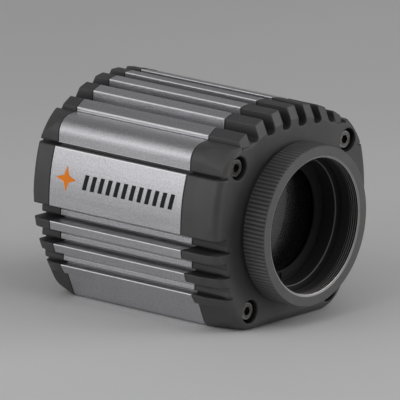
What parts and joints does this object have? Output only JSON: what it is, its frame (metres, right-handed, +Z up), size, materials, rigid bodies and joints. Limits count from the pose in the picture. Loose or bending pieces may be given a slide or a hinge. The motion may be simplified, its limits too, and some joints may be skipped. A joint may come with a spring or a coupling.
{
  "type": "cooled astronomy camera",
  "caption": "Finned aluminium astronomy camera between dark end caps, with corner screws and a knurled threaded adapter ring that unscrews from the front.",
  "frame": {"origin": "centre of the adapter ring's front face, on the optical axis; the sensor's surface lies 17.5 mm behind it", "axes": "+Y from the adapter ring's mouth to the back of the camera, +Z up, +X to the right when looking along +Y into the mouth"},
  "size_m": [0.0716, 0.0798, 0.0652],
  "materials": {
    "satin_aluminium": "bead-blasted satin anodised, bright on the edges",
    "dark_anodised": "warm dark grey satin anodised aluminium",
    "ring_anodised": "dark grey satin anodised aluminium, knurled",
    "orange_ink": "flat orange inlay",
    "dark_ink": "flat dark inlay",
    "black_rubber": "matte",
    "dark_steel": "black oxide, worn bright on the rims",
    "bright_steel": "plated steel",
    "black_polymer": "matte black engineering plastic",
    "window_glass": "coated flat glass",
    "cover_glass": "thin clear glass",
    "silicon": "dark polished silicon",
    "grey_ceramic": "fired ceramic",
    "white_ceramic": "fired alumina",
    "board_black": "black solder mask on glass-fibre board",
    "board_green": "solder mask on glass-fibre board",
    "plain_aluminium": "machined",
    "copper": "machined copper",
    "thermoelectric": "dull semiconductor",
    "red_insulation": "red wire insulation",
    "black_epoxy": "moulded epoxy",
    "desiccant_white": "pressed tablet",
    "ribbon_amber": "polyimide film",
    "ivory_plastic": "moulded connector plastic",
    "brass_plated": "plain brass",
    "usb_blue": "moulded plastic",
    "clear_plastic": "clear light guide"
  },
  "bodies": {
    "camera_body": {"housing": "satin_aluminium", "mark_star": "orange_ink", "mark_bars": "dark_ink", "front_cap": "dark_anodised", "rear_cap": "dark_anodised", "front_gasket": "black_rubber", "rear_gasket": "black_rubber", "front_screws": "dark_steel", "rear_screws": "dark_steel", "window_retainer": "dark_anodised", "window": "window_glass", "window_seal": "black_rubber", "sensor_cover_glass": "cover_glass", "sensor_die": "silicon", "sensor_package": "grey_ceramic", "sensor_board": "board_black", "sensor_screws": "bright_steel", "chamber_ring": "black_polymer", "chamber_seals": "black_rubber", "chamber_screws": "dark_steel", "heat_spreader": "plain_aluminium", "cold_finger": "copper", "cooler_cold_plate": "white_ceramic", "cooler_pellets": "thermoelectric", "cooler_hot_plate": "white_ceramic", "cooler_wires": "red_insulation", "temperature_sensor": "black_epoxy", "desiccant": "desiccant_white", "ribbon_seal": "black_rubber", "sensor_ribbon": "ribbon_amber", "board_sockets": "ivory_plastic", "front_standoffs": "brass_plated", "main_board": "board_green", "main_board_chips": "black_epoxy", "capacitors": "plain_aluminium", "stack_connector": "black_polymer", "rear_standoffs": "brass_plated", "port_board": "board_green", "port_board_chips": "black_epoxy", "board_screws": "bright_steel", "usb_shell": "bright_steel", "usb_tongue": "usb_blue", "power_socket": "black_polymer", "power_pin": "bright_steel", "light_pipe": "clear_plastic", "light_chip": "ivory_plastic"},
    "adapter_washer": {"adapter_washer": "black_polymer"},
    "adapter_ring": {"adapter_ring": "ring_anodised"}
  },
  "joints": [
    {"name": "adapter_travel", "type": "slide", "parent": "camera_body", "child": "adapter_washer", "axis": [0, -1, 0], "range_m": [0, 0.003]},
    {"name": "adapter_turn", "type": "hinge", "parent": "adapter_washer", "child": "adapter_ring", "pos_m": [0, 0, 0], "axis": [0, -1, 0], "range_deg": [0, 1440]}
  ],
  "couplings": [
    {"joint": "adapter_travel", "follows": "adapter_turn", "m_per_rad": 0.00011936}
  ]
}
